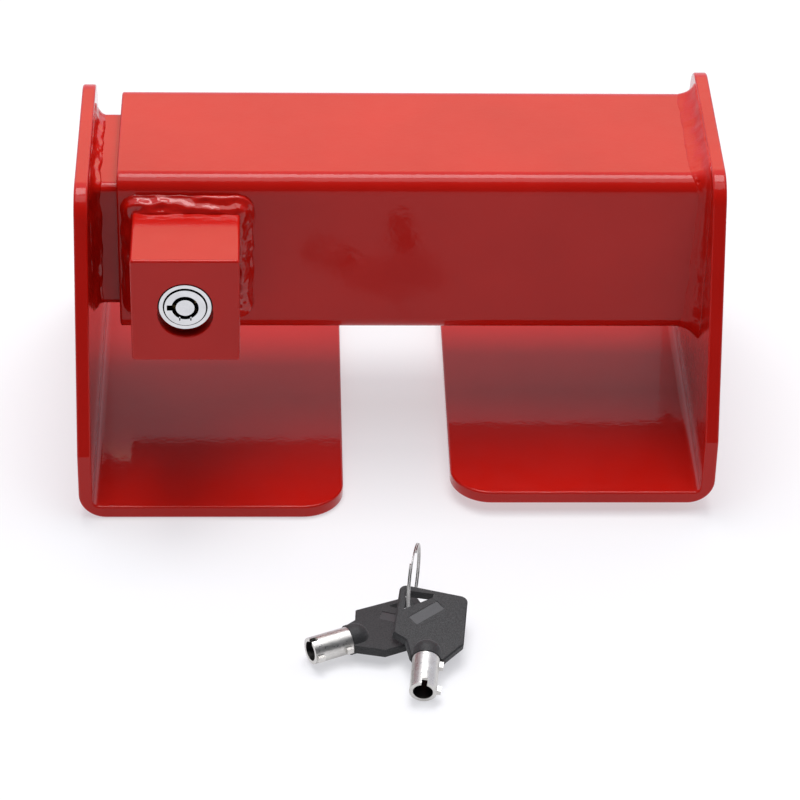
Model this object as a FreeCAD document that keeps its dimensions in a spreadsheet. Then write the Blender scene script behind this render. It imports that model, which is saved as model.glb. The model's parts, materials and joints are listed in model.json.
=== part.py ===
import FreeCAD, Part
import math
import os
import re
import Sketcher

# Trailer coupler lock. Two telescoping square tubes carry two bent L-plates that close over a coupler,
# and a push lock in a block on the outer tube shoots a bolt into the inner tube.
# X runs along the tubes, Y from front to back and Z upwards. The origin is the middle of the footprint.

document = FreeCAD.newDocument("coupler_lock")
sheet = document.addObject("Spreadsheet::Sheet", "Sizes")

DRIVING_SIZES = {
    # tubes
    "outer_side": 63.5,
    "outer_wall": 6.35,
    "outer_corner": 6.2,
    "outer_bore_corner": 2.0,
    "inner_side": 50.0,
    "inner_wall": 5.0,
    "inner_corner": 3.0,
    "inner_length": 167.0,
    "outer_overhang": 97.9,
    # L-plates
    "overall_width": 224.2,
    "plate_thickness": 4.8,
    "plate_height": 114.4,
    "flange_depth": 142.6,
    "crown_depth": 79.0,
    "upright_height": 26.6,
    "crown_radius": 12.0,
    "flange_reach": 93.1,
    "flange_corner": 14.5,
    "bend_radius": 9.5,
    "bend_inner_radius": 2.5,
    "edge_round": 0.8,
    "top_margin": 4.75,
    "left_drop": 4.0,
    "left_forward": 3.0,
    # welds
    "plate_weld_leg": 4.5,
    "tube_weld_leg": 5.5,
    "block_weld_leg": 5.4,
    # lock block
    "block_width": 37.2,
    "block_height": 41.0,
    "block_depth": 34.0,
    "block_from_middle": 73.8,
    "block_rise": 0.4,
    "block_edge": 1.1,
    "lock_rise": 2.1,
    "relief_radius": 9.5,
    "relief_drop": 2.9,
    "relief_depth": 4.0,
    "relief_edge": 0.4,
    # lock sleeve
    "sleeve_radius": 9.45,
    "sleeve_bore": 7.65,
    "sleeve_length": 26.0,
    "rim_radius": 8.95,
    "rim_length": 2.2,
    "groove_radius": 8.75,
    "lug_room": 0.3,
    "pin_radius": 1.5,
    "pin_station": 22.0,
    "pin_bite": 0.8,
    # plunger
    "plunger_proud": 0.5,
    "plunger_travel": 8.0,
    "barrel_radius": 7.6,
    "barrel_length": 18.0,
    "nose_radius": 7.1,
    "nose_length": 2.0,
    "keyway_radius": 4.65,
    "keyway_depth": 7.0,
    "keyway_notch": 1.6,
    "keyway_notch_width": 2.1,
    "stake_length": 0.9,
    "stake_width": 0.45,
    "stake_depth": 0.8,
    "stake_angle": 20.0,
    "plug_bore": 5.6,
    "driver_station": 11.5,
    "tumbler_circle": 3.8,
    "tumbler_hole": 0.85,
    "tumbler_radius": 0.8,
    "driver_length": 2.1,
    "bolt_head_length": 3.0,
    "bolt_radius": 6.0,
    "bolt_tip_station": 39.9,
    "bolt_chamfer": 1.0,
    "bolt_hole_radius": 6.6,
    "clip_room": 2.9,
    "clip_room_depth": 2.5,
    "spring_chamber": 8.2,
    "spring_wire": 1.2,
    "spring_mean_radius": 7.0,
    "spring_turns": 3.4,
    # plug
    "post_radius": 3.2,
    "flange_radius": 5.55,
    "flange_station": 6.55,
    "spindle_radius": 1.5,
    "spindle_end": 19.5,
    "lug_width": 1.6,
    "lug_root": 2.6,
    "lug_tip": 8.6,
    "lug_station": 8.0,
    "lug_length": 2.0,
    "clip_radius": 2.7,
    "clip_thickness": 0.9,
    # lock holes in the inner tube
    "hole_pitch": 17.78,
    "hole_count": 6.0,
    # keys
    "bow_half_width": 12.0,
    "bow_length": 31.5,
    "bow_shoulder": 9.0,
    "bow_thickness": 3.2,
    "bow_corner": 2.6,
    "bow_chamfer": 0.5,
    "dome_radius": 5.1,
    "dome_length": 2.6,
    "shank_radius": 4.6,
    "shank_bore": 3.35,
    "shank_length": 14.0,
    "shank_root": 4.5,
    "nib_height": 1.3,
    "nib_width": 1.9,
    "nib_length": 2.4,
    "label_length": 12.6,
    "label_width": 4.3,
    "label_sink": 0.3,
    "ring_radius": 11.5,
    "ring_wire": 0.6,
    # where things stand
    "axis_from_origin": 51.92,
}

for row, (alias, number) in enumerate(DRIVING_SIZES.items(), start=1):
    sheet.set(f"A{row}", alias)
    sheet.set(f"B{row}", str(number))
    sheet.setAlias(f"B{row}", alias)
document.recompute()


def linked(expression):
    """The same expression with each size's name pointing at its cell."""
    return re.sub(
        r"[a-z_]+",
        lambda word: "Sizes." + word.group() if word.group() in DRIVING_SIZES else word.group(),
        str(expression),
    )


def value(expression):
    """An expression's number, in millimetres."""
    return float(sheet.evalExpression(linked(expression)))


def bind(item, **expressions):
    """Ties an object's properties to expressions in the sheet's sizes."""
    for name, expression in expressions.items():
        item.setExpression(name.replace("__", "."), linked(expression))


def place(item, x=0, y=0, z=0):
    """Ties an object's position to the sheet."""
    bind(item, Placement__Base__x=x, Placement__Base__y=y, Placement__Base__z=z)
    return item


# The tubes' common axis, the block's face and the lock's axis, in the part's frame.
AXIS_Y = "axis_from_origin"
AXIS_Z = "(left_drop + plate_height - top_margin - outer_side / 2)"
FACE_Y = f"({AXIS_Y} - outer_side / 2 - block_depth)"
LOCK_X = "(0 - block_from_middle)"
LOCK_Z = f"({AXIS_Z} + lock_rise)"
PLATE_X = "(overall_width / 2 - plate_thickness)"

ALONG_Y = FreeCAD.Rotation(FreeCAD.Vector(1, 0, 0), -90)
pieces = {}


def keep(label, item):
    """Names a finished piece; its label is its file's name."""
    item.Label = label
    pieces[label] = item
    return item


# ---------------------------------------------------------------- sketches and simple solids


def new_sketch(body, name, role, offset=0):
    """A sketch on one of the body's own origin planes, moved along the plane's normal by offset."""
    sketch = body.newObject("Sketcher::SketchObject", name)
    plane = next(feature for feature in body.Origin.OriginFeatures if feature.Role == role)
    sketch.AttachmentSupport = [(plane, "")]
    sketch.MapMode = "FlatFace"
    bind(sketch, AttachmentOffset__Base__z=offset)
    return sketch


def constrain(sketch, kind, *references, size=None):
    """Adds one constraint; size is the sheet expression that drives it."""
    if size is None:
        return sketch.addConstraint(Sketcher.Constraint(kind, *references))
    index = sketch.addConstraint(Sketcher.Constraint(kind, *references, value(size)))
    sketch.setExpression(f"Constraints[{index}]", linked(size))
    return index


def draw_rounded_rectangle(sketch, width, height, radius):
    """A rectangle about the sketch's origin with four equal round corners."""
    w, h, r = value(width) / 2, value(height) / 2, value(radius)
    corners = [(w, h), (-w, h), (-w, -h), (w, -h)]
    sides = []
    rounds = []
    for index, (x, y) in enumerate(corners):
        centre = FreeCAD.Vector(x - math.copysign(r, x), y - math.copysign(r, y), 0)
        circle = Part.Circle(centre, FreeCAD.Vector(0, 0, 1), r)
        start = math.radians(90 * index)
        rounds.append(sketch.addGeometry(Part.ArcOfCircle(circle, start, start + math.pi / 2)))
    ends = [
        ((w - r, h), (-w + r, h)),
        ((-w, h - r), (-w, -h + r)),
        ((-w + r, -h), (w - r, -h)),
        ((w, -h + r), (w, h - r)),
    ]
    for (x0, y0), (x1, y1) in ends:
        sides.append(sketch.addGeometry(Part.LineSegment(FreeCAD.Vector(x0, y0, 0), FreeCAD.Vector(x1, y1, 0))))
    for index in range(4):
        constrain(sketch, "Tangent", rounds[index], 2, sides[index], 1)
        constrain(sketch, "Tangent", sides[index], 2, rounds[(index + 1) % 4], 1)
        constrain(sketch, "Horizontal" if index % 2 == 0 else "Vertical", sides[index])
    for other in rounds[1:]:
        constrain(sketch, "Equal", rounds[0], other)
    constrain(sketch, "Symmetric", rounds[0], 3, rounds[2], 3, -1, 1)
    constrain(sketch, "Radius", rounds[0], size=radius)
    constrain(sketch, "DistanceX", sides[1], 1, sides[3], 1, size=width)
    constrain(sketch, "DistanceY", sides[2], 1, sides[0], 1, size=height)


def draw_outline(sketch, points):
    """A closed outline of straight sides through points, each an (x, y) pair of sheet expressions."""
    spots = [FreeCAD.Vector(value(x), value(y), 0) for x, y in points]
    sides = []
    for start, end in zip(spots, spots[1:] + spots[:1]):
        sides.append(sketch.addGeometry(Part.LineSegment(start, end)))
    for index, side in enumerate(sides):
        constrain(sketch, "Coincident", side, 2, sides[(index + 1) % len(sides)], 1)
    for side, (x, y) in zip(sides, points):
        for kind, size in (("DistanceX", x), ("DistanceY", y)):
            if abs(value(size)) < 1e-9:
                constrain(sketch, "PointOnObject", side, 1, -2 if kind == "DistanceX" else -1)
            else:
                constrain(sketch, kind, -1, 1, side, 1, size=size)


def new_pad(body, sketch, name, length):
    """Pads the sketch along its plane's normal."""
    pad = body.newObject("PartDesign::Pad", name)
    pad.Profile = sketch
    bind(pad, Length=length)
    return pad


def rounded_bar(name, role, width, height, radius, length, offset=0):
    """A body: a bar of round-cornered rectangular section, off one of its origin planes."""
    body = document.addObject("PartDesign::Body", name)
    sketch = new_sketch(body, f"{name}_section", role, offset)
    draw_rounded_rectangle(sketch, width, height, radius)
    new_pad(body, sketch, f"{name}_pad", length)
    return body


def weld_collar(name, role, wide, narrow, core, wide_at, narrow_at, leg, corner):
    """A weld's plain solid: a collar about a core that narrows away from the plate it stands on."""
    taper = document.addObject("PartDesign::Body", name + "_taper")
    foot = new_sketch(taper, name + "_foot", role, wide_at)
    draw_rounded_rectangle(foot, *wide)
    toe = new_sketch(taper, name + "_toe", role, narrow_at)
    draw_rounded_rectangle(toe, *narrow)
    loft = taper.newObject("PartDesign::AdditiveLoft", name + "_loft")
    loft.Profile = foot
    loft.Sections = [toe]
    middle = f"(({wide_at}) + ({narrow_at})) / 2"
    inside = rounded_bar(name + "_core", role, *core, f"2 * {leg}", f"{middle} - {leg}")
    for blank in (taper, inside):
        place(blank, *corner)
    return keep(name, cut(name, taper, inside))


def cut(name, base, *tools):
    """The base with every tool taken away."""
    result = base
    for number, tool in enumerate(tools):
        step = document.addObject("Part::Cut", name if number == len(tools) - 1 else f"{name}_step{number}")
        step.Base = result
        step.Tool = tool
        result = step
    return result


def fuse(name, *items):
    """One solid out of several."""
    result = document.addObject("Part::MultiFuse", name)
    result.Shapes = list(items)
    result.Refine = True
    return result


def rod(name, radius, length, station, turn=0, sweep=360):
    """A cylinder along the lock's axis that starts station behind the block's face."""
    item = document.addObject("Part::Cylinder", name)
    item.Placement.Rotation = ALONG_Y.multiply(FreeCAD.Rotation(FreeCAD.Vector(0, 0, 1), turn))
    item.Angle = sweep
    bind(item, Radius=radius, Height=length)
    return place(item, LOCK_X, f"{FACE_Y} + {station}", LOCK_Z)


def block(name, sizes, corner):
    """A box by its three sizes and its lowest corner."""
    item = document.addObject("Part::Box", name)
    bind(item, Length=sizes[0], Width=sizes[1], Height=sizes[2])
    return place(item, *corner)


def edges_at(shape, test):
    """Names of the edges that pass the test, as a PartDesign feature wants them."""
    return [f"Edge{number}" for number, edge in enumerate(shape.Edges, start=1) if test(edge)]


def is_along(edge, direction):
    """Whether a straight edge runs along a direction."""
    if edge.Curve.TypeId != "Part::GeomLine":
        return False
    return abs(abs(edge.Curve.Direction.dot(direction)) - 1) < 1e-6


# ---------------------------------------------------------------- L-plates


def make_bracket(label, x, y, z, half_turn):
    """A bent plate: an upright with sloping edges and a flange, with its outer face at local x = 0."""
    bend = document.addObject("PartDesign::Body", label + "_bend")
    section = new_sketch(bend, label + "_section", "XZ_Plane", "0 - flange_depth / 2")
    draw_outline(
        section,
        [
            ("0", "0"),
            ("flange_reach", "0"),
            ("flange_reach", "plate_thickness"),
            ("plate_thickness", "plate_thickness"),
            ("plate_thickness", "plate_height"),
            ("0", "plate_height"),
        ],
    )
    pad = new_pad(bend, section, label + "_extrusion", "flange_depth")
    document.recompute()
    across = FreeCAD.Vector(0, 1, 0)
    upward = FreeCAD.Vector(0, 0, 1)
    thickness = value("plate_thickness")
    rounds = [
        ("outer_bend", "bend_radius", lambda e: is_along(e, across) and e.CenterOfMass.x < 0.1 > e.CenterOfMass.z),
        (
            "inner_bend",
            "bend_inner_radius",
            lambda e: is_along(e, across)
            and abs(e.CenterOfMass.x - thickness) < 0.1 > abs(e.CenterOfMass.z - thickness),
        ),
        (
            "tip_corners",
            "flange_corner",
            lambda e: is_along(e, upward) and e.CenterOfMass.x > value("flange_reach") - 0.1,
        ),
    ]
    base = pad
    for name, radius, test in rounds:
        fillet = bend.newObject("PartDesign::Fillet", f"{label}_{name}")
        fillet.Base = (base, edges_at(base.Shape, test))
        bind(fillet, Radius=radius)
        document.recompute()
        base = fillet

    profile = document.addObject("PartDesign::Body", label + "_profile")
    side = new_sketch(profile, label + "_side", "YZ_Plane", "0 - 1")
    half_base = "flange_depth / 2"
    half_crown = "crown_depth / 2"
    draw_outline(
        side,
        [
            (f"0 - {half_base}", "0 - 1"),
            (half_base, "0 - 1"),
            (half_base, "upright_height"),
            (half_crown, "plate_height"),
            (f"0 - {half_crown}", "plate_height"),
            (f"0 - {half_base}", "upright_height"),
        ],
    )
    block_out = new_pad(profile, side, label + "_silhouette", "flange_reach + 2")
    document.recompute()
    crown = profile.newObject("PartDesign::Fillet", label + "_crown")
    length_along_x = FreeCAD.Vector(1, 0, 0)
    top = value("plate_height")
    crown.Base = (
        block_out,
        edges_at(block_out.Shape, lambda e: is_along(e, length_along_x) and e.CenterOfMass.z > top - 0.1),
    )
    bind(crown, Radius="crown_radius")
    shape = document.addObject("Part::MultiCommon", label + "_blank")
    shape.Shapes = [bend, profile]
    document.recompute()

    plate = document.addObject("Part::Fillet", label)
    plate.Base = shape
    radius = value("edge_round")
    sharp = [
        number
        for number, edge in enumerate(shape.Shape.Edges, start=1)
        if is_rim(edge, thickness, value("plate_height"), value("flange_reach"), value("flange_depth") / 2)
    ]
    plate.Edges = [(number, radius, radius) for number in sharp]
    place(plate, x, y, z)
    plate.Placement.Rotation = FreeCAD.Rotation(FreeCAD.Vector(0, 0, 1), 180 if half_turn else 0)
    return keep(label, plate)


def is_rim(edge, thickness, height, reach, half_depth):
    """Whether an edge lies on the outline of a face of the plate, where paint rounds it off."""
    middle = edge.valueAt((edge.FirstParameter + edge.LastParameter) / 2)
    on_face = min(abs(middle.x), abs(middle.x - thickness)) < 1e-4 and middle.z > thickness
    on_flange = min(abs(middle.z), abs(middle.z - thickness)) < 1e-4 and middle.x > thickness
    at_end = abs(middle.z - height) < 1e-4 or abs(middle.x - reach) < value("flange_corner") * 0.9
    at_side = abs(middle.y) > value("crown_depth") / 2 - value("crown_radius")
    along_y = is_along(edge, FreeCAD.Vector(0, 1, 0)) and not at_end
    return (on_face or on_flange) and (at_end or at_side) and not along_y and abs(middle.y) <= half_depth + 1e-4


make_bracket("right_bracket", "overall_width / 2", AXIS_Y, "left_drop", True)
make_bracket("left_bracket", "0 - overall_width / 2", f"{AXIS_Y} - left_forward", "0", False)

# ---------------------------------------------------------------- tubes

outer_length = f"(outer_overhang + {PLATE_X})"
outer_bar = rounded_bar("outer_bar", "YZ_Plane", "outer_side", "outer_side", "outer_corner", outer_length)
outer_bore = rounded_bar(
    "outer_bore",
    "YZ_Plane",
    "outer_side - 2 * outer_wall",
    "outer_side - 2 * outer_wall",
    "outer_bore_corner",
    f"{outer_length} + 2",
    "0 - 1",
)
document.recompute()
outer_pad = outer_bar.Tip
open_end = outer_bar.newObject("PartDesign::Fillet", "open_end_edges")
open_end.Base = (outer_pad, edges_at(outer_pad.Shape, lambda edge: edge.BoundBox.XMax < 0.01))
bind(open_end, Radius="edge_round")
for item in (outer_bar, outer_bore):
    place(item, "0 - outer_overhang", AXIS_Y, AXIS_Z)
bolt_way = rod("bolt_way", "bolt_radius + 0.3", "outer_wall + 2", "block_depth - 1")
keep("outer_tube", cut("outer_tube", outer_bar, outer_bore, bolt_way))

inner_tube = rounded_bar("inner_tube", "YZ_Plane", "inner_side", "inner_side", "inner_corner", "inner_length")
inside = new_sketch(inner_tube, "inner_bore_section", "YZ_Plane")
draw_rounded_rectangle(inside, "inner_side - 2 * inner_wall", "inner_side - 2 * inner_wall", "inner_corner / 2")
inner_bore = inner_tube.newObject("PartDesign::Pocket", "inner_bore")
inner_bore.Profile = inside
inner_bore.Reversed = True
bind(inner_bore, Length="inner_length + 1")
document.recompute()
first_hole = new_sketch(inner_tube, "first_hole", "XZ_Plane")
circle = first_hole.addGeometry(Part.Circle(FreeCAD.Vector(30, 2, 0), FreeCAD.Vector(0, 0, 1), 5))
constrain(first_hole, "Radius", circle, size="bolt_hole_radius")
first_hole_x = f"({PLATE_X} - block_from_middle)"
constrain(first_hole, "DistanceX", -1, 1, circle, 3, size=first_hole_x)
constrain(first_hole, "DistanceY", -1, 1, circle, 3, size="lock_rise")
hole = inner_tube.newObject("PartDesign::Pocket", "lock_hole")
hole.Profile = first_hole
hole.Reversed = True
bind(hole, Length="inner_side")
document.recompute()
row_of_holes = inner_tube.newObject("PartDesign::LinearPattern", "lock_holes")
row_of_holes.Originals = [hole]
row_of_holes.Direction = (first_hole, ["H_Axis"])
bind(row_of_holes, Length="hole_pitch * (hole_count - 1)", Occurrences="hole_count")
inner_tube.Tip = row_of_holes
place(inner_tube, f"0 - {PLATE_X}", AXIS_Y, AXIS_Z)
keep("inner_tube", inner_tube)

# ---------------------------------------------------------------- welds


def section(width, height, radius):
    """A round-cornered section's three sizes."""
    return (width, height, radius)


def grown(size, growth):
    """A size with the same growth on both sides."""
    return f"{size} + 2 * ({growth})"


TOE = "0.2"
tube_axis = (0, AXIS_Y, AXIS_Z)
outer_plate_side = grown("outer_side", "plate_weld_leg")
weld_collar(
    "right_weld",
    "YZ_Plane",
    section(outer_plate_side, outer_plate_side, "outer_corner + plate_weld_leg"),
    section(grown("outer_side", TOE), grown("outer_side", TOE), f"outer_corner + {TOE}"),
    section("outer_side", "outer_side", "outer_corner"),
    PLATE_X,
    f"{PLATE_X} - tube_weld_leg",
    "tube_weld_leg",
    tube_axis,
)
inner_plate_side = grown("inner_side", "plate_weld_leg")
weld_collar(
    "left_weld",
    "YZ_Plane",
    section(inner_plate_side, inner_plate_side, "inner_corner + plate_weld_leg"),
    section(grown("inner_side", TOE), grown("inner_side", TOE), f"inner_corner + {TOE}"),
    section("inner_side", "inner_side", "inner_corner"),
    f"0 - {PLATE_X}",
    f"plate_weld_leg - {PLATE_X}",
    "plate_weld_leg",
    tube_axis,
)
weld_collar(
    "block_weld",
    "XZ_Plane",
    section(
        grown("block_width", "block_weld_leg"),
        grown("block_height", "block_weld_leg"),
        "block_edge + block_weld_leg",
    ),
    section(grown("block_width", TOE), grown("block_height", TOE), f"block_edge + {TOE}"),
    section("block_width", "block_height", "block_edge"),
    "0",
    "block_weld_leg",
    "block_weld_leg",
    (LOCK_X, f"{AXIS_Y} - outer_side / 2", f"{AXIS_Z} + block_rise"),
)

# ---------------------------------------------------------------- lock block and sleeve

block_bar = rounded_bar("block_bar", "XZ_Plane", "block_width", "block_height", "block_edge", "block_depth")
place(block_bar, LOCK_X, f"{AXIS_Y} - outer_side / 2", f"{AXIS_Z} + block_rise")
document.recompute()
block_pad = block_bar.Tip
front = -value("block_depth")
soft_edges = block_bar.newObject("PartDesign::Fillet", "block_front_edges")
soft_edges.Base = (
    block_pad,
    edges_at(block_pad.Shape, lambda edge: max(vertex.Y for vertex in edge.Vertexes) < front + 0.01),
)
bind(soft_edges, Radius="block_edge * 0.8")
# The relief under the lock is a shallow round recess with a rounded mouth.
RELIEF_Z = f"({LOCK_Z} - relief_drop)"
relief_recess = rod("relief_recess", "relief_radius", "relief_depth + 1", "(0 - 1)")
relief_rim = rod("relief_rim", "relief_radius + relief_edge", "relief_edge + 1", "(0 - 1)")
relief_lip = document.addObject("Part::Torus", "relief_lip")
relief_lip.Placement.Rotation = ALONG_Y
bind(relief_lip, Radius1="relief_radius + relief_edge", Radius2="relief_edge")
place(relief_lip, LOCK_X, f"{FACE_Y} + relief_edge", RELIEF_Z)
for item in (relief_recess, relief_rim):
    bind(item, Placement__Base__z=RELIEF_Z)
relief = fuse("relief", relief_recess, cut("relief_mouth", relief_rim, relief_lip))
pin_foot_z = f"({AXIS_Z} + block_rise - block_height / 2)"
pin_reach = f"(block_height / 2 - block_rise + lock_rise - sleeve_radius + pin_bite)"


def upright_pin(name, radius, length, z):
    """A pin that stands under the sleeve."""
    item = document.addObject("Part::Cylinder", name)
    bind(item, Radius=radius, Height=length)
    return place(item, LOCK_X, f"{FACE_Y} + pin_station", z)


keep(
    "lock_block",
    cut(
        "lock_block",
        block_bar,
        rod("block_bore", "sleeve_radius", "sleeve_length + 1", "(0 - 1)"),
        rod("spring_bore", "spring_chamber", "block_depth + 1", "0"),
        relief,
        upright_pin("pin_way", "pin_radius", f"{pin_reach} + 1", f"{pin_foot_z} - 1"),
    ),
)
keep("sleeve_pin", upright_pin("sleeve_pin", "pin_radius", pin_reach, pin_foot_z))

sleeve_bar = fuse(
    "sleeve_bar",
    rod("sleeve_barrel", "sleeve_radius", "sleeve_length - rim_length", "rim_length"),
    rod("sleeve_rim", "rim_radius", "rim_length + 1", "0"),
)
SWEEP = 110
SWEEP_START = -10
lug_slot = block(
    "lug_slot",
    ("groove_radius", "sleeve_length", "lug_width + 2 * lug_room"),
    (LOCK_X, f"{FACE_Y} + lug_station - lug_room", f"{LOCK_Z} - lug_width / 2 - lug_room"),
)
lug_grooves = [
    rod(
        f"lug_groove_{number}",
        "groove_radius",
        "lug_length + 2 * lug_room",
        f"lug_station - lug_room + {travel}",
        SWEEP_START,
        SWEEP,
    )
    for number, travel in enumerate(("0", "plunger_travel"), start=1)
]
keep(
    "lock_sleeve",
    cut(
        "lock_sleeve",
        sleeve_bar,
        rod("sleeve_bore_tool", "sleeve_bore", "sleeve_length + 2", "(0 - 1)"),
        lug_slot,
        *lug_grooves,
        upright_pin("pin_seat", "pin_radius", pin_reach, pin_foot_z),
    ),
)

# ---------------------------------------------------------------- plunger

PROUD = "(0 - plunger_proud)"
TUMBLERS = 7


def tumbler_group(name, radius, length, station):
    """The seven pins or pin holes, on one circle about the lock's axis."""
    rods = []
    for number in range(TUMBLERS):
        angle = 360 * (number + 0.5) / TUMBLERS
        item = rod(f"{name}_{number + 1}", radius, length, station)
        dx = f"tumbler_circle * cos({angle} deg)"
        dz = f"tumbler_circle * sin({angle} deg)"
        bind(item, Placement__Base__x=f"{LOCK_X} + {dx}", Placement__Base__z=f"{LOCK_Z} + {dz}")
        rods.append(item)
    return rods


def group(name, items):
    """Separate solids of one kind as one piece."""
    result = document.addObject("Part::Compound", name)
    result.Links = items
    return result


notch = block(
    "keyway_notch_tool",
    ("keyway_radius + keyway_notch", "keyway_depth + plunger_proud", "keyway_notch_width"),
    (f"{LOCK_X} - keyway_radius - keyway_notch", f"{FACE_Y} + {PROUD}", f"{LOCK_Z} - keyway_notch_width / 2"),
)
stakes = []
for side, sign in (("left", "0 - "), ("right", "")):
    stake = block(
        f"stake_{side}",
        ("stake_width", "stake_depth + 1", "stake_length + 1"),
        (
            f"{LOCK_X} + ({sign}1) * (keyway_radius + stake_length) * sin(stake_angle * 1 deg) - stake_width / 2",
            f"{FACE_Y} + {PROUD} - 1",
            f"{LOCK_Z} - (keyway_radius + stake_length) * cos(stake_angle * 1 deg)",
        ),
    )
    stakes.append(stake)
barrel_bar = fuse(
    "barrel_bar",
    rod("barrel_nose", "nose_radius", "nose_length + 1", PROUD),
    rod("barrel_body", "barrel_radius", "barrel_length - nose_length", f"{PROUD} + nose_length"),
)
barrel_end = f"({PROUD} + barrel_length)"
keep(
    "lock_barrel",
    cut(
        "lock_barrel",
        barrel_bar,
        rod("keyway_tool", "keyway_radius", "keyway_depth + 2", "(0 - 1)"),
        rod("plug_bore_tool", "plug_bore", "barrel_length", "flange_station - 0.05"),
        notch,
        *stakes,
        rod(
            "lug_window",
            "barrel_radius + 1",
            "lug_length + 2 * lug_room",
            "lug_station - lug_room",
            SWEEP_START,
            SWEEP,
        ),
    ),
)
keep(
    "driver_block",
    cut(
        "driver_block",
        rod("driver_bar", "plug_bore", f"{barrel_end} - driver_station", "driver_station"),
        rod("spindle_way", "spindle_radius + 0.05", "barrel_length", "driver_station - 1"),
        *tumbler_group("driver_hole", "tumbler_hole", "barrel_length", "driver_station - 1"),
    ),
)
driver_start = "(driver_station + 0.05)"
keep(
    "driver_pins",
    group("driver_pins", tumbler_group("driver_pin", "tumbler_radius", "driver_length", driver_start)),
)
bolt_bar = fuse(
    "bolt_bar",
    rod("bolt_head", "barrel_radius", "bolt_head_length", barrel_end),
    rod("bolt_shank", "bolt_radius", f"bolt_tip_station - {barrel_end} - bolt_chamfer", barrel_end),
)
bolt_point = document.addObject("Part::Cone", "bolt_point")
bolt_point.Placement.Rotation = ALONG_Y
bind(bolt_point, Radius1="bolt_radius", Radius2="bolt_radius - bolt_chamfer", Height="bolt_chamfer")
place(bolt_point, LOCK_X, f"{FACE_Y} + bolt_tip_station - bolt_chamfer", LOCK_Z)
keep(
    "lock_bolt",
    cut(
        "lock_bolt",
        fuse("pointed_bolt", bolt_bar, bolt_point),
        rod("clip_room_tool", "clip_room", "clip_room_depth", barrel_end),
    ),
)


def coil(wire, mean_radius, turns, length):
    """A round-wire spring along Y from the origin, as long over its end turns as length."""
    pitch = (length - 2 * wire) / turns
    helix = Part.makeHelix(pitch, pitch * turns, mean_radius)
    section_circle = Part.Circle(
        FreeCAD.Vector(mean_radius, 0, 0), FreeCAD.Vector(0, 2 * math.pi * mean_radius, pitch), wire / 2
    )
    profile_wire = Part.Wire([section_circle.toShape()])
    spring = Part.Wire(helix.Edges).makePipeShell([profile_wire], True, True)
    spring.Placement = FreeCAD.Placement(FreeCAD.Vector(0, wire, 0), ALONG_Y)
    return spring


def spring_at(shape, station, dx=0.0, dz=0.0):
    """The spring moved to its station on the lock's axis."""
    moved = shape.copy()
    moved.translate(
        FreeCAD.Vector(value(LOCK_X) + dx, value(f"{FACE_Y} + {station}"), value(LOCK_Z) + dz)
    )
    return moved


spring_seat = f"({barrel_end} + bolt_head_length)"
return_coil = coil(
    value("spring_wire"),
    value("spring_mean_radius"),
    value("spring_turns"),
    value(f"block_depth - {spring_seat}") - 0.1,
)
return_spring = document.addObject("Part::Feature", "return_spring")
return_spring.Shape = spring_at(return_coil, f"{spring_seat} + 0.05")
keep("return_spring", return_spring)

DRIVER_WIRE = 0.3
DRIVER_TURNS = 5
driver_rest = f"({driver_start} + driver_length)"
driver_coil = coil(
    DRIVER_WIRE,
    value("tumbler_radius") - DRIVER_WIRE / 2,
    DRIVER_TURNS,
    value(f"{barrel_end} - {driver_rest}") - 0.1,
)
driver_coils = []
for number in range(TUMBLERS):
    angle = 2 * math.pi * (number + 0.5) / TUMBLERS
    reach = value("tumbler_circle")
    spot = (reach * math.cos(angle), reach * math.sin(angle))
    driver_coils.append(spring_at(driver_coil, f"{driver_rest} + 0.05", *spot))
driver_springs = document.addObject("Part::Feature", "driver_springs")
driver_springs.Shape = Part.makeCompound(driver_coils)
keep("driver_springs", driver_springs)

# ---------------------------------------------------------------- plug

plug_bar = fuse(
    "plug_bar",
    rod("plug_post", "post_radius", f"flange_station - {PROUD} + 1", PROUD),
    rod("plug_flange", "flange_radius", "driver_station - 0.05 - flange_station", "flange_station"),
    rod("plug_spindle", "spindle_radius", "spindle_end - flange_station - 1", "flange_station + 1"),
)


def lug_box(name, spare):
    """The lug's straight bar, with spare room all round its root."""
    return block(
        name,
        (f"lug_tip - lug_root + {spare}", f"lug_length + 2 * {spare}", f"lug_width + 2 * {spare}"),
        (
            f"{LOCK_X} + lug_root - {spare}",
            f"{FACE_Y} + lug_station - {spare}",
            f"{LOCK_Z} - lug_width / 2 - {spare}",
        ),
    )


keep(
    "lock_plug",
    cut(
        "lock_plug",
        plug_bar,
        lug_box("lug_seat", "0.02"),
        *tumbler_group("key_pin_hole", "tumbler_hole", "barrel_length", "flange_station - 1"),
    ),
)
key_pin_length = "(driver_station - 0.05 - flange_station + 0.35)"
keep(
    "key_pins",
    group("key_pins", tumbler_group("key_pin", "tumbler_radius", key_pin_length, "flange_station - 0.35")),
)
keep("locking_lug", lug_box("locking_lug", "0"))
keep(
    "plug_clip",
    cut(
        "plug_clip",
        rod("clip_disc", "clip_radius", "clip_thickness", f"{barrel_end} + 0.1"),
        rod("clip_bore", "spindle_radius", "clip_thickness + 2", f"{barrel_end} - 1"),
    ),
)

# ---------------------------------------------------------------- keys and ring


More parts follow.
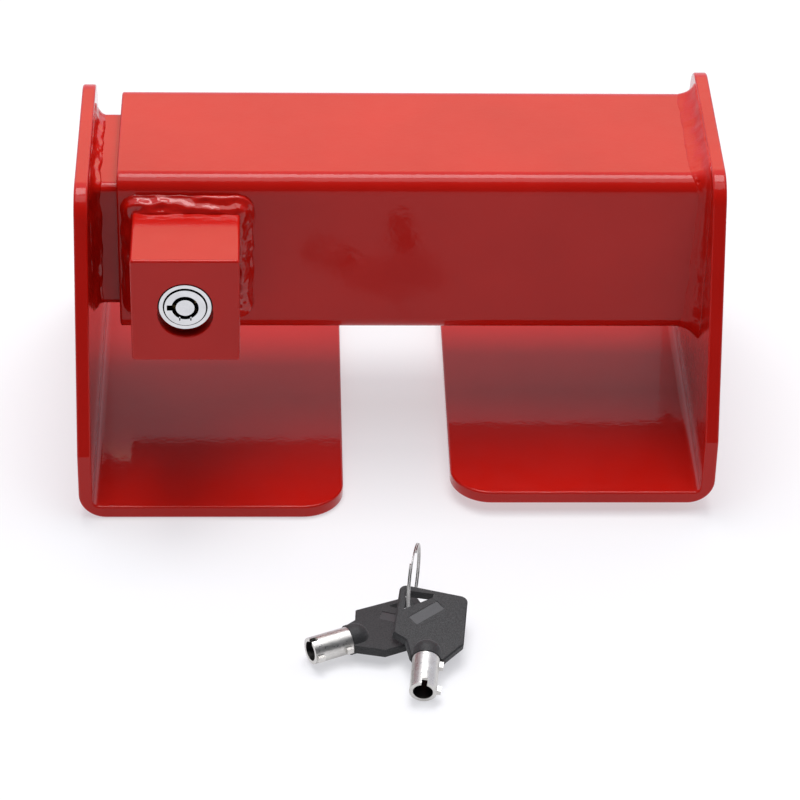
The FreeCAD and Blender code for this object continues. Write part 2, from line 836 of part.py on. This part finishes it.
# The bow's outline and its ring slot.
BOW_OUTLINE = [
    ("0 - bow_half_width", "bow_shoulder"),
    ("0 - bow_half_width * 0.62", "bow_shoulder * 0.72"),
    ("0 - bow_half_width * 0.45", "0"),
    ("bow_half_width * 0.5", "0"),
    ("bow_half_width", "bow_shoulder * 0.9"),
    ("bow_half_width", "bow_length * 0.94"),
    ("0 - bow_half_width * 0.94", "bow_length"),
]
SLOT_OUTLINE = [
    ("0 - bow_half_width * 0.76", "bow_length * 0.64"),
    ("bow_half_width * 0.02", "bow_length * 0.86"),
    ("bow_half_width * 0.02", "bow_length * 0.91"),
    ("0 - bow_half_width * 0.76", "bow_length * 0.91"),
]
LABEL_SPOT = ("0 - bow_half_width * 0.12", "bow_length * 0.63")
LABEL_TURN = 45


def make_bow(label):
    """The key's moulded bow, in its own frame: the shank's axis is Y and the far end is at +Y."""
    body = document.addObject("PartDesign::Body", label + "_slab")
    outline = new_sketch(body, label + "_outline", "XY_Plane", "0 - bow_thickness / 2")
    draw_outline(outline, BOW_OUTLINE)
    slab = new_pad(body, outline, label + "_pad", "bow_thickness")
    document.recompute()
    upward = FreeCAD.Vector(0, 0, 1)
    far = value("bow_length") * 0.9
    corners = body.newObject("PartDesign::Fillet", label + "_corners")
    corners.Base = (
        slab,
        edges_at(slab.Shape, lambda edge: is_along(edge, upward) and edge.CenterOfMass.y > far),
    )
    bind(corners, Radius="bow_corner")
    document.recompute()
    half = value("bow_thickness") / 2
    chamfer = body.newObject("PartDesign::Chamfer", label + "_chamfer")
    chamfer.Base = (
        corners,
        edges_at(
            corners.Shape,
            lambda edge: all(abs(abs(vertex.Z) - half) < 1e-6 for vertex in edge.Vertexes)
            and not is_along(edge, upward)
            and edge.CenterOfMass.y > 0.5,
        ),
    )
    bind(chamfer, Size="bow_chamfer")
    body.Tip = chamfer
    document.recompute()

    slot = new_sketch(body, label + "_slot", "XY_Plane", "0 - bow_thickness")
    draw_outline(slot, SLOT_OUTLINE)
    slot_cut = body.newObject("PartDesign::Pocket", label + "_slot_cut")
    slot_cut.Profile = slot
    slot_cut.Reversed = True
    bind(slot_cut, Length="2 * bow_thickness")
    document.recompute()

    label_sketch = new_sketch(body, label + "_panel", "XY_Plane", "bow_thickness / 2")
    draw_rounded_rectangle(label_sketch, "label_length", "label_width", "label_sink")
    bind(label_sketch, AttachmentOffset__Base__x=LABEL_SPOT[0])
    bind(label_sketch, AttachmentOffset__Base__y=LABEL_SPOT[1])
    label_sketch.AttachmentOffset.Rotation = FreeCAD.Rotation(FreeCAD.Vector(0, 0, 1), LABEL_TURN)
    panel = body.newObject("PartDesign::Pocket", label + "_panel_cut")
    panel.Profile = label_sketch
    bind(panel, Length="label_sink")
    document.recompute()

    stem = document.addObject("Part::Cylinder", label + "_stem")
    stem.Placement.Rotation = ALONG_Y
    bind(stem, Radius="dome_radius", Height="dome_length")
    cap = document.addObject("Part::Sphere", label + "_dome")
    bind(cap, Radius="dome_radius", Placement__Base__y="dome_length")
    back = document.addObject("Part::Box", label + "_dome_back")
    bind(back, Length="4 * dome_radius", Width="2 * dome_radius", Height="4 * dome_radius")
    place(back, "0 - 2 * dome_radius", "0 - 2 * dome_radius", "0 - 2 * dome_radius")
    half_dome = cut(label + "_half_dome", fuse(label + "_boss", stem, cap), back)
    way = document.addObject("Part::Cylinder", label + "_shank_way")
    way.Placement.Rotation = ALONG_Y
    bind(way, Radius="shank_radius", Height="shank_root + 1")
    place(way, 0, "0 - 1", 0)
    return cut(label, fuse(label + "_solid", body, half_dome), way)


def make_shank(label):
    """The key's tube, with a nib at its tip and one near the bow."""
    outside = document.addObject("Part::Cylinder", label + "_outside")
    bore = document.addObject("Part::Cylinder", label + "_bore")
    for item, radius, spare in ((outside, "shank_radius", 0), (bore, "shank_bore", 2)):
        item.Placement.Rotation = ALONG_Y
        bind(item, Radius=radius, Height=f"shank_length + shank_root + {spare}")
        place(item, 0, f"0 - shank_length - {spare / 2}", 0)
    nibs = []
    for number, y in enumerate(("0 - shank_length + 0.4", "0 - nib_length - 0.6"), start=1):
        nib = document.addObject("Part::Box", f"{label}_nib_{number}")
        bind(nib, Length="nib_height + 1", Width="nib_length", Height="nib_width")
        place(nib, "shank_radius - 1", y, "0 - nib_width / 2")
        nibs.append(nib)
    notch_tool = document.addObject("Part::Box", label + "_notch")
    bind(notch_tool, Length="nib_width", Width="1 + nib_length", Height="shank_radius")
    place(notch_tool, "0 - nib_width / 2", "0 - shank_length - 1", "shank_bore * 0.8")
    return cut(label, fuse(label + "_solid", outside, *nibs), bore, notch_tool)


def stand(item, x, y, z, heading, pitch, roll=0):
    """Puts a key's piece on the ground: heading turns it about Z, pitch raises its far end."""
    item.Placement.Rotation = (
        FreeCAD.Rotation(FreeCAD.Vector(0, 0, 1), heading)
        .multiply(FreeCAD.Rotation(FreeCAD.Vector(1, 0, 0), pitch))
        .multiply(FreeCAD.Rotation(FreeCAD.Vector(0, 1, 0), roll))
    )
    place(item, x, f"{AXIS_Y} + {y}", z)


# Each key's collar (x, y from the tubes' axis, z), then its heading, pitch and roll in degrees. Key A lies
# on the ground, and key B lies across it with its shank's tip on the ground.
KEY_PLACES = {
    "key_a": (-18.7, -148.3, 5.2, -64, -1.6, 0),
    "key_b": (7.15, -160.55, 6.64, -6, 8.5, 6),
}
for key, spot in KEY_PLACES.items():
    for piece in (keep(key + "_bow", make_bow(key + "_bow")), keep(key + "_tube", make_shank(key + "_tube"))):
        stand(piece, *spot)

# The ring stands on edge through both slots.
ring = document.addObject("Part::Torus", "split_ring")
bind(ring, Radius1="ring_radius", Radius2="ring_wire")
stand(ring, 4.03, -123.63, "ring_radius + ring_wire + 0.05", 80, 90)
keep("split_ring", ring)

# ---------------------------------------------------------------- checks and files

document.recompute()
failed = [item.Name for item in document.Objects if {"Invalid", "Error"} & set(item.State)]
if failed:
    raise RuntimeError(f"these objects did not build: {failed}")
for label, item in pieces.items():
    if item.Shape.isNull() or not item.Shape.isValid():
        raise RuntimeError(f"{label} has no valid shape")

os.makedirs("parts", exist_ok=True)
for label, item in pieces.items():
    item.Shape.exportStep(f"parts/{label}.step")
    print(f"{label}: {len(item.Shape.Solids)} solid(s), {item.Shape.Volume:.0f} mm3")
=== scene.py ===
import json
import math
import random

import bmesh
import bpy
from mathutils import Matrix, Vector, noise


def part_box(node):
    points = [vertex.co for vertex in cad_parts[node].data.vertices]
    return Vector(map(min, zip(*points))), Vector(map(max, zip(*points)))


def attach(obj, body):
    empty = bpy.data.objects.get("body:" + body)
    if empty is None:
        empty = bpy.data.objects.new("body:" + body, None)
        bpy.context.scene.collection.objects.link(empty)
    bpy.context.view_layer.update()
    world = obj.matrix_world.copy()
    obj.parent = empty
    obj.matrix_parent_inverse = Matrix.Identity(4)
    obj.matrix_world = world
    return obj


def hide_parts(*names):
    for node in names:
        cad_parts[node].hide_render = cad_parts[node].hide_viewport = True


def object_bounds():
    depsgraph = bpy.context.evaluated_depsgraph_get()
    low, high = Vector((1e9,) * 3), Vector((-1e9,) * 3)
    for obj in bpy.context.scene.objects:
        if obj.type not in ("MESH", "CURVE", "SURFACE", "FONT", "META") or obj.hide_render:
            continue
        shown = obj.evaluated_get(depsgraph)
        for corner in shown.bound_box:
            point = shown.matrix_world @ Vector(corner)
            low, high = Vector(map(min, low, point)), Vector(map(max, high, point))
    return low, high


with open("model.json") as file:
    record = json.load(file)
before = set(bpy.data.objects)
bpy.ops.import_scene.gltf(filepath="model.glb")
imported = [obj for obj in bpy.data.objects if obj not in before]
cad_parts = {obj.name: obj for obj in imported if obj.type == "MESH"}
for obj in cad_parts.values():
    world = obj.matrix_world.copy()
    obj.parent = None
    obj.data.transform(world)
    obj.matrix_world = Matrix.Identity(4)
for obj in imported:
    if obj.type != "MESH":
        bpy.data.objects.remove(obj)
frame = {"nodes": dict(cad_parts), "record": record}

cad_low, cad_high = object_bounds()
MM = 0.001

# The tubes' common axis, which everything is placed from.
tube_low, tube_high = (Vector(corner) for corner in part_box("outer_tube"))
AXIS = Vector((0.0, (tube_low.y + tube_high.y) / 2, (tube_low.z + tube_high.z) / 2))


# ---------------------------------------------------------------- node helpers


def new_material(name, roughness, metallic=0.0):
    """A material with its tree, its Principled shader and an object-space coordinate node."""
    material = bpy.data.materials.new(name)
    material.use_nodes = True
    tree = material.node_tree
    shader = tree.nodes["Principled BSDF"]
    shader.inputs["Roughness"].default_value = roughness
    shader.inputs["Metallic"].default_value = metallic
    place = tree.nodes.new("ShaderNodeTexCoord").outputs["Object"]
    return material, tree, shader, place


def noise_field(tree, place, scale, detail=2.0, rough=0.5):
    """A noise's value over the object, scale features to the metre."""
    field = tree.nodes.new("ShaderNodeTexNoise")
    field.inputs["Scale"].default_value = scale
    field.inputs["Detail"].default_value = detail
    field.inputs["Roughness"].default_value = rough
    tree.links.new(place, field.inputs["Vector"])
    return field.outputs["Fac"]


def remap(tree, value, low, high, start=0.3, end=0.7):
    """A field's range start..end turned into low..high."""
    node = tree.nodes.new("ShaderNodeMapRange")
    node.inputs["From Min"].default_value = start
    node.inputs["From Max"].default_value = end
    node.inputs["To Min"].default_value = low
    node.inputs["To Max"].default_value = high
    tree.links.new(value, node.inputs["Value"])
    return node.outputs["Result"]


def mix_colour(tree, factor, first, second):
    """Two colours blended by a field; each is a tuple or an output."""
    node = tree.nodes.new("ShaderNodeMix")
    node.data_type = "RGBA"
    tree.links.new(factor, node.inputs["Factor"])
    colour_a, colour_b, mixed = node.inputs[6], node.inputs[7], node.outputs[2]
    for socket, colour in ((colour_a, first), (colour_b, second)):
        if isinstance(colour, tuple):
            socket.default_value = (*colour, 1.0)
        else:
            tree.links.new(colour, socket)
    return mixed


def add_bump(tree, shader, layers):
    """Stacks bump layers, each (field, depth in mm), and returns the shader's normal."""
    normal = None
    for field, depth in layers:
        bump = tree.nodes.new("ShaderNodeBump")
        bump.inputs["Strength"].default_value = 1.0
        bump.inputs["Distance"].default_value = depth * MM
        tree.links.new(field, bump.inputs["Height"])
        if normal:
            tree.links.new(normal, bump.inputs["Normal"])
        normal = bump.outputs["Normal"]
    tree.links.new(normal, shader.inputs["Normal"])
    return normal


# ---------------------------------------------------------------- materials


def red_powder_coat(name, lumpy=0.0, gloss=1.0, coat_ior=1.27):
    """Glossy red powder coat with fine orange peel; lumpy is the depth of a weld's grain, in mm."""
    material, tree, shader, place = new_material(name, 0.34)
    patches = noise_field(tree, place, 26.0, 3.0)
    deep_red, light_red = (0.475, 0.006, 0.0025), (0.525, 0.008, 0.004)
    colour = mix_colour(tree, remap(tree, patches, 0.0, 1.0), deep_red, light_red)
    tree.links.new(colour, shader.inputs["Base Color"])
    peel = noise_field(tree, place, 720.0, 1.0)
    waves = noise_field(tree, place, 170.0, 2.0)
    smoothest, roughest = 0.28, 0.4
    tree.links.new(remap(tree, waves, smoothest, roughest), shader.inputs["Roughness"])
    peel_depth, wave_depth = 0.024, 0.04
    layers = [(peel, peel_depth), (waves, wave_depth)]
    if lumpy:
        layers.append((noise_field(tree, place, 420.0, 3.0, 0.6), lumpy))
    normal = add_bump(tree, shader, layers)
    shader.inputs["Specular IOR Level"].default_value = 0.08
    shader.inputs["Coat Weight"].default_value = gloss
    shader.inputs["Coat Roughness"].default_value = 0.045
    shader.inputs["Coat IOR"].default_value = coat_ior
    tree.links.new(normal, shader.inputs["Coat Normal"])
    return material


def bright_metal(name, light, dark, roughness, grain_scale, grain_depth, mouth=None):
    """A plated or turned metal with a grain in its gloss, with painted shade behind a mouth."""
    material, tree, shader, place = new_material(name, roughness, 1.0)
    cloud = noise_field(tree, place, 240.0, 3.0)
    tone = mix_colour(tree, remap(tree, cloud, 0.0, 1.0), light, dark)
    tree.links.new(tone, shader.inputs["Base Color"])
    grain = noise_field(tree, place, grain_scale, 2.0, 0.6)
    tree.links.new(remap(tree, grain, roughness * 0.7, roughness * 1.4), shader.inputs["Roughness"])
    add_bump(tree, shader, [(grain, grain_depth)])
    # Painted shade: the colour turns near black behind the mouth.
    if mouth:
        deep_shade(tree, shader, place, mouth, 0.9 * MM)
    return material


def black_plastic(name, dark, light, rough, grain_depth):
    """Moulded black plastic; grain_depth is how deep its spark-eroded texture is, in mm."""
    material, tree, shader, place = new_material(name, rough)
    grain = noise_field(tree, place, 1900.0, 3.0, 0.65)
    speckle = noise_field(tree, place, 2600.0, 1.0)
    tone = remap(tree, speckle, 0.0, 1.0, 0.35, 0.75)
    tree.links.new(mix_colour(tree, tone, dark, light), shader.inputs["Base Color"])
    tree.links.new(remap(tree, grain, rough * 0.85, rough * 1.2), shader.inputs["Roughness"])
    add_bump(tree, shader, [(grain, grain_depth)])
    return material


def deep_shade(tree, shader, place, mouth, depth):
    """Paints shade into a metal from its mouth (a Y in metres) inwards: a near-black colour where
    the inside of a keyway lies in shade.
    """
    split = tree.nodes.new("ShaderNodeSeparateXYZ")
    tree.links.new(place, split.inputs["Vector"])
    inward = remap(tree, split.outputs["Y"], 0.0, 1.0, mouth, mouth + depth)
    tone = shader.inputs["Base Color"].links[0].from_socket
    painted_shade_colour = (0.012, 0.012, 0.012)
    shaded = mix_colour(tree, inward, tone, painted_shade_colour)
    tree.links.new(shaded, shader.inputs["Base Color"])


RED = red_powder_coat("red_powder_coat")
WELD_RED = red_powder_coat("weld_powder_coat", 0.12, 0.7)
BEAD_RED = red_powder_coat("bead_powder_coat", 0.05, 1.0, 1.4)
# Where the chrome's painted shade inside the keyway begins.
KEYWAY_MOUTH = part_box("lock_sleeve")[0][1] + 0.3 * MM

# Each metal: its lighter and darker tones, its roughness, and its grain's scale and depth.
CHROME = bright_metal(
    "polished_chrome", (0.7, 0.7, 0.71), (0.62, 0.62, 0.63), 0.1, 900.0, 0.002, KEYWAY_MOUTH
)
NICKEL = bright_metal(
    "turned_nickel", (0.66, 0.645, 0.62), (0.56, 0.545, 0.52), 0.34, 1500.0, 0.012
)
# The key tubes' insides: a dark colour that paints the shade within the bores, with a rougher
# gloss.
BORE_SHADE = bright_metal(
    "bore_painted_shade", (0.13, 0.125, 0.12), (0.09, 0.086, 0.082), 0.42, 1500.0, 0.012
)
RING_STEEL = bright_metal(
    "ring_wire_steel", (0.4, 0.395, 0.385), (0.3, 0.295, 0.285), 0.22, 1200.0, 0.006
)
STEEL = bright_metal("zinc_steel", (0.5, 0.5, 0.52), (0.4, 0.4, 0.42), 0.35, 600.0, 0.005)
SPRING = bright_metal("spring_steel", (0.35, 0.35, 0.36), (0.25, 0.25, 0.26), 0.3, 800.0, 0.004)
BRASS = bright_metal("turned_brass", (0.72, 0.5, 0.2), (0.6, 0.4, 0.15), 0.28, 700.0, 0.004)
PLASTIC = black_plastic("black_plastic", (0.009, 0.009, 0.0095), (0.035, 0.035, 0.037), 0.58, 0.1)
LABEL = black_plastic("smooth_label", (0.044, 0.044, 0.047), (0.053, 0.053, 0.056), 0.4, 0.01)

LOOKS = {
    "red_paint": RED,
    "chrome": CHROME,
    "nickel": NICKEL,
    "steel": STEEL,
    "spring_steel": SPRING,
    "brass": BRASS,
    "black_plastic": PLASTIC,
}


def dress(piece, material):
    """Puts one material on a whole object."""
    piece.data.materials.clear()
    piece.data.materials.append(material)


for part in frame["record"]["subparts"]:
    dress(frame["nodes"][part["node"]], LOOKS[part["material_slot"]])


def label_faces(node):
    """Gives a bow's sunk panel the label's finish: the flat just below its broad face."""
    mesh = frame["nodes"][node].data
    mesh.materials.append(LABEL)
    upper = (face for face in mesh.polygons if face.normal.z > 0.5)
    up = max(upper, key=lambda face: face.area).normal.copy()
    parallel, height_step = 0.9999, 0.05 * MM
    shallowest, deepest = 0.2 * MM, 0.5 * MM
    flats = [face for face in mesh.polygons if face.normal.dot(up) > parallel]
    areas = {}
    for face in flats:
        height = round(face.center.dot(up) / height_step)
        areas[height] = areas.get(height, 0.0) + face.area
    broad = max(areas, key=areas.get) * height_step
    for face in flats:
        if shallowest < broad - face.center.dot(up) < deepest:
            face.material_index = 1


def shade_bore_faces(node):
    """Paints shade into a key tube's inside: every face that looks at the tube's axis gets the dark
    bore colour.
    """
    mesh = frame["nodes"][node].data
    mesh.materials.append(BORE_SHADE)
    ends = {}
    for face in mesh.polygons:
        ends.setdefault(tuple(round(abs(part), 3) for part in face.normal), []).append(face)
    mouth = max(ends.values(), key=lambda group: sum(face.area for face in group))
    axis = mouth[0].normal.copy()
    area = sum(face.area for face in mouth)
    middle = sum((face.center * face.area for face in mouth), Vector()) / area
    inward = -0.6
    for face in mesh.polygons:
        out = face.center - middle
        if face.normal.dot((out - axis * out.dot(axis)).normalized()) < inward:
            face.material_index = 1


for key in ("key_a", "key_b"):
    label_faces(key + "_bow")
    shade_bore_faces(key + "_tube")


# ---------------------------------------------------------------- mesh helpers


def mesh_piece(name, points, faces, material, body):
    """A smooth-shaded mesh object that rides on a body."""
    mesh = bpy.data.meshes.new(name)
    mesh.from_pydata([tuple(point) for point in points], [], faces)
    bm = bmesh.new()
    bm.from_mesh(mesh)
    bmesh.ops.recalc_face_normals(bm, faces=bm.faces)
    bm.to_mesh(mesh)
    bm.free()
    mesh.polygons.foreach_set("use_smooth", [True] * len(mesh.polygons))
    piece = bpy.data.objects.new(name, mesh)
    bpy.context.scene.collection.objects.link(piece)
    dress(piece, material)
    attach(piece, body)
    return piece


def swept(rings, closed):
    """Points and faces of a tube through rings of points; an open tube gets flat ends."""
    size = len(rings[0])
    points = [point for ring in rings for point in ring]
    faces = []
    spans = len(rings) if closed else len(rings) - 1
    for step in range(spans):
        here, there = step * size, (step + 1) % len(rings) * size
        for turn in range(size):
            after = (turn + 1) % size
            faces.append((here + turn, here + after, there + after, there + turn))
    if not closed:
        faces.append(tuple(range(size)))
        faces.append(tuple(range(len(points) - size, len(points))))
    return points, faces


def rounded_path(width, height, radius, spacing):
    """Points and outward normals round a rounded rectangle in its own plane, evenly spaced."""
    path = []
    half_w, half_h = width / 2 - radius, height / 2 - radius
    corners = [
        (half_w, half_h, 0),
        (-half_w, half_h, 90),
        (-half_w, -half_h, 180),
        (half_w, -half_h, 270),
    ]
    for index, (x, y, start) in enumerate(corners):
        arc_steps = max(3, round(radius * math.pi / 2 / spacing))
        for step in range(arc_steps):
            angle = math.radians(start + 90 * step / arc_steps)
            out = Vector((math.cos(angle), math.sin(angle)))
            path.append((Vector((x, y)) + out * radius, out))
        next_x, next_y, next_start = corners[(index + 1) % 4]
        out = Vector((math.cos(math.radians(next_start)), math.sin(math.radians(next_start))))
        start_point = Vector((x, y)) + out * radius
        end_point = Vector((next_x, next_y)) + out * radius
        line_steps = max(2, round((end_point - start_point).length / spacing))
        for step in range(line_steps):
            path.append((start_point.lerp(end_point, step / line_steps), out))
    return path


# ---------------------------------------------------------------- welds


BEAD_SPACING = 0.4 * MM  # between points round the bar
BEAD_STEPS = 14  # from a bead's edge on the plate to its edge on the bar
BEAD_SUNK = 0.35 * MM  # how far its edges and root are sunk into the metal
FAR_LUMP, NEAR_LUMP, GRIT = 7 * MM, 3.2 * MM, 1.3 * MM  # sizes of its unevenness
NEAR_SHARE, GRIT_SHARE = 0.3, 0.12  # the finer ones' depth, as a share of the lumps' or ripples'
RIPPLES_ACROSS = 2.6  # how many ripples lie one above the other
RIPPLE_FADE = 3  # how soon the ripples reach full depth from an edge
PIT_DEPTH = 0.9  # a crater's depth in its radii


def weld_bead(
    name, node, body, paint, seed, *, centre, right, up, away, size, legs, shape, pits=()
):
    """A fillet weld round a bar.

    centre, right, up and away are the bar's frame where it leaves its plate; size is the bar's
    width, height and corner radius. legs holds the bead's reach over the plate and along the bar
    on top, at the sides and below; shape is its swell, its ripples' depth and length, and its
    lumps' depth; pits are small craters (spot, radius).
    """
    width, height, radius = size
    swell, ripple_depth, ripple_length, lump_depth = shape
    random.seed(seed)
    shift = random.uniform(0, 50)
    lift_far = Vector((0, 0, 9))

    def lumps(far, near):
        return lump_depth * (noise.noise(far) + NEAR_SHARE * noise.noise(near))

    rings = []
    for spot, out in rounded_path(width, height, radius, BEAD_SPACING):
        outward = right * out.x + up * out.y
        corner = centre + right * spot.x + up * spot.y
        low = (0.5 - spot.y / height) ** 2
        weights = (max(out.y, 0) ** 2, out.x**2 * (1 - low), max(-out.y, 0) ** 2 + out.x**2 * low)
        far = Vector((spot.x, spot.y, 0.0)) / FAR_LUMP + Vector((shift, 0, 0))
        near = Vector((spot.x, spot.y, 0.0)) / NEAR_LUMP + Vector((0, shift, 0))
        reach = sum(weight * leg[0] for weight, leg in zip(weights, legs)) + lumps(far, near)
        climb = sum(weight * leg[1] for weight, leg in zip(weights, legs))
        climb += lumps(far + lift_far, near + lift_far)
        ring = [corner - outward * BEAD_SUNK - away * BEAD_SUNK]
        for step in range(BEAD_STEPS + 1):
            t = step / BEAD_STEPS
            bow = math.sin(math.pi * t)
            point = corner + outward * (reach * (1 - t)) + away * (climb * t)
            across = RIPPLES_ACROSS * t + shift
            streak = noise.noise(Vector((spot.x / ripple_length, spot.y / ripple_length, across)))
            grit = GRIT_SHARE * noise.noise(point / GRIT)
            lift = swell * bow + ripple_depth * (streak + grit) * min(1.0, RIPPLE_FADE * bow)
            point += (outward * climb + away * reach).normalized() * lift
            for pit, pit_radius in pits:
                gap = (point - pit).length / pit_radius
                if gap < 1:
                    deep = pit_radius * PIT_DEPTH * (1 - gap * gap)
                    point -= (outward + away).normalized() * deep
            if step == 0:
                point -= away * BEAD_SUNK
            if step == BEAD_STEPS:
                point -= outward * BEAD_SUNK
            ring.append(point)
        rings.append(ring)
    points, faces = swept(rings, True)
    bead = mesh_piece(name, points, faces, paint, body)
    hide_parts(node)


X, Y, Z = Vector((1, 0, 0)), Vector((0, 1, 0)), Vector((0, 0, 1))
OUTER = tube_high.z - tube_low.z
inner_low, inner_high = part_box("inner_tube")
INNER = inner_high[2] - inner_low[2]
right_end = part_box("right_weld")[1][0]
left_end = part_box("left_weld")[0][0]
block_low, block_high = (Vector(corner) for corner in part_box("lock_block"))
block_middle = (block_low + block_high) / 2
crater = Vector((right_end - 4.4 * MM, tube_low.y + 1.3 * MM, tube_high.z - 0.9 * MM))

weld_bead(
    "right_weld_bead",
    "right_weld",
    "outer_half",
    WELD_RED,
    3,
    centre=Vector((right_end, AXIS.y, AXIS.z)),
    right=Y,
    up=Z,
    away=-X,
    size=(OUTER, OUTER, 6.2 * MM),
    legs=[(4.5 * MM, 7.2 * MM), (3.6 * MM, 4.3 * MM), (4.5 * MM, 7.4 * MM)],
    shape=(-1.0 * MM, 0.25 * MM, 7.0 * MM, 0.5 * MM),
    pits=[(crater, 1.0 * MM)],
)
weld_bead(
    "left_weld_bead",
    "left_weld",
    "inner_half",
    BEAD_RED,
    8,
    centre=Vector((left_end, AXIS.y, AXIS.z)),
    right=Y,
    up=Z,
    away=X,
    size=(INNER, INNER, 3.0 * MM),
    legs=[(4.0 * MM, 3.9 * MM)] * 3,
    shape=(-0.7 * MM, 0.5 * MM, 6.0 * MM, 0.6 * MM),
)
weld_bead(
    "block_weld_bead",
    "block_weld",
    "outer_half",
    BEAD_RED,
    5,
    centre=Vector((block_middle.x, tube_low.y, block_middle.z)),
    right=X,
    up=Z,
    away=-Y,
    size=(block_high.x - block_low.x, block_high.z - block_low.z, 1.1 * MM),
    legs=[(4.9 * MM, 4.9 * MM), (4.7 * MM, 4.7 * MM), (4.6 * MM, 4.6 * MM)],
    shape=(0.35 * MM, 1.0 * MM, 5.5 * MM, 0.7 * MM),
)


# ---------------------------------------------------------------- split ring


def split_ring():
    """A key ring of one flattened wire wound twice, with its two ends stepped over each other."""
    low, high = (Vector(corner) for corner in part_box("split_ring"))
    centre = (low + high) / 2
    wire = 0.55 * MM
    mean = (high.z - low.z) / 2 - wire
    # Half the section along the ring's axis, and half of it outwards, less at the filed ends.
    half_flat = 0.5225 * wire
    half_tall, half_tall_at_ends = 0.9 * wire, 0.65 * wire
    # How far apart the two ends are along the axis.
    spread = 2.08 * wire
    heading, start = math.radians(80), math.radians(118)
    turns, steps, sides = 1.93, 220, 12
    across = Vector((math.cos(heading), math.sin(heading), 0))
    normal = across.cross(Z)
    rings = []
    for step in range(steps + 1):
        t = step / steps
        angle = start + 2 * math.pi * turns * t
        outward = across * math.cos(angle) + Z * math.sin(angle)
        middle = centre + outward * mean + normal * ((t - 0.5) * spread)
        tall = half_tall_at_ends if step in (0, 1, steps - 1, steps) else half_tall
        ring = []
        for turn in range(sides):
            around = 2 * math.pi * turn / sides
            side = outward * (tall * math.cos(around)) + normal * (half_flat * math.sin(around))
            ring.append(middle + side)
        rings.append(ring)
    points, faces = swept(rings, False)
    ring_piece = mesh_piece("ring_coils", points, faces, RING_STEEL, "key_ring")
    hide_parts("split_ring")
    return ring_piece


# The dark bows and the ring are kept out of mirror reflections, so the tube's front stays clear.
for piece in (split_ring(), frame["nodes"]["key_a_bow"], frame["nodes"]["key_b_bow"]):
    piece.visible_glossy = False


# ---------------------------------------------------------------- floor, light and camera


def floor():
    """A wide pale floor just under the lowest flange."""
    reach, gap = 6.0, 0.2 * MM
    corners = [(-reach, -reach, 0), (reach, -reach, 0), (reach, reach, 0), (-reach, reach, 0)]
    mesh = bpy.data.meshes.new("floor")
    mesh.from_pydata(corners, [], [(0, 1, 2, 3)])
    plane = bpy.data.objects.new("floor", mesh)
    bpy.context.scene.collection.objects.link(plane)
    plane.location.z = cad_low.z - gap
    material, tree, shader, place = new_material("pale_floor", 0.9)
    cloud = noise_field(tree, place, 3.0)
    tone = mix_colour(tree, remap(tree, cloud, 0.0, 1.0), (0.43, 0.43, 0.43), (0.45, 0.45, 0.45))
    tree.links.new(tone, shader.inputs["Base Color"])
    shader.inputs["Specular IOR Level"].default_value = 0.0
    shader.inputs["Emission Color"].default_value = (1.0, 1.0, 1.04, 1.0)
    shader.inputs["Emission Strength"].default_value = 0.5
    plane.data.materials.append(material)


def area_light(name, spot, target, size, power, tint):
    """A rectangular softbox at spot that faces target."""
    data = bpy.data.lights.new(name, "AREA")
    data.shape = "RECTANGLE"
    data.size, data.size_y = size
    data.energy = power
    data.color = tint
    lamp = bpy.data.objects.new(name, data)
    bpy.context.scene.collection.objects.link(lamp)
    lamp.location = spot
    lamp.rotation_euler = (target - spot).to_track_quat("-Z", "Y").to_euler()


def studio_world():
    """A white studio sweep that is bright behind the object and dim in front of it."""
    world = bpy.data.worlds.new("studio")
    bpy.context.scene.world = world
    world.use_nodes = True
    tree = world.node_tree
    direction = tree.nodes.new("ShaderNodeTexCoord").outputs["Generated"]
    split = tree.nodes.new("ShaderNodeSeparateXYZ")
    tree.links.new(direction, split.inputs["Vector"])
    dim, bright = 0.08, 0.9
    strength = remap(tree, split.outputs["Y"], dim, bright, -0.3, 0.3)
    back = tree.nodes["Background"]
    back.inputs["Color"].default_value = (0.95, 0.98, 1.09, 1.0)
    tree.links.new(strength, back.inputs["Strength"])


def photo_camera():
    """The camera that looks down on the lock from the front."""
    data = bpy.data.cameras.new("camera")
    data.sensor_width = 36.0
    data.lens = 159.6
    data.clip_start, data.clip_end = 0.05, 30
    camera = bpy.data.objects.new("camera", data)
    bpy.context.scene.collection.objects.link(camera)
    place = AXIS + Vector((-0.04135, -1.0670, 0.68355))
    pitch, yaw, roll = math.radians(35.71), math.radians(2.38), math.radians(1.42)
    ahead = math.cos(pitch)
    look = Vector((math.sin(yaw) * ahead, math.cos(yaw) * ahead, -math.sin(pitch)))
    level = look.cross(Z).normalized()
    rise = level.cross(look)
    side = level * math.cos(roll) + rise * math.sin(roll)
    top = rise * math.cos(roll) - level * math.sin(roll)
    camera.matrix_world = Matrix.Translation(place) @ Matrix(
        (
            (side.x, top.x, -look.x, 0),
            (side.y, top.y, -look.y, 0),
            (side.z, top.z, -look.z, 0),
            (0, 0, 0, 1),
        )
    )
    bpy.context.scene.camera = camera


WHITE, WARM = (1.0, 1.0, 1.0), (1.0, 0.88, 0.4)
# Each light: its name, its place and target from the tubes' axis, its size, its watts and its tint.
LIGHTS = (
    ("main_softbox", (0.0, 0.22, 1.18), (0.0, 0.0, 0.0), (0.65, 0.54), 9.5, WHITE),
    ("front_softbox", (0.0, -0.35, 1.2), (0.0, 0.0, 0.0), (1.2, 0.5), 5.2, WHITE),
    ("back_panel", (0.02, 0.3, 0.254), (0.02, 0.0, 0.254), (0.5, 0.152), 0.215, WARM),
)

floor()
studio_world()
for light, spot, target, size, power, tint in LIGHTS:
    area_light(light, AXIS + Vector(spot), AXIS + Vector(target), size, power, tint)
photo_camera()
bpy.context.scene.view_settings.view_transform = "Standard"
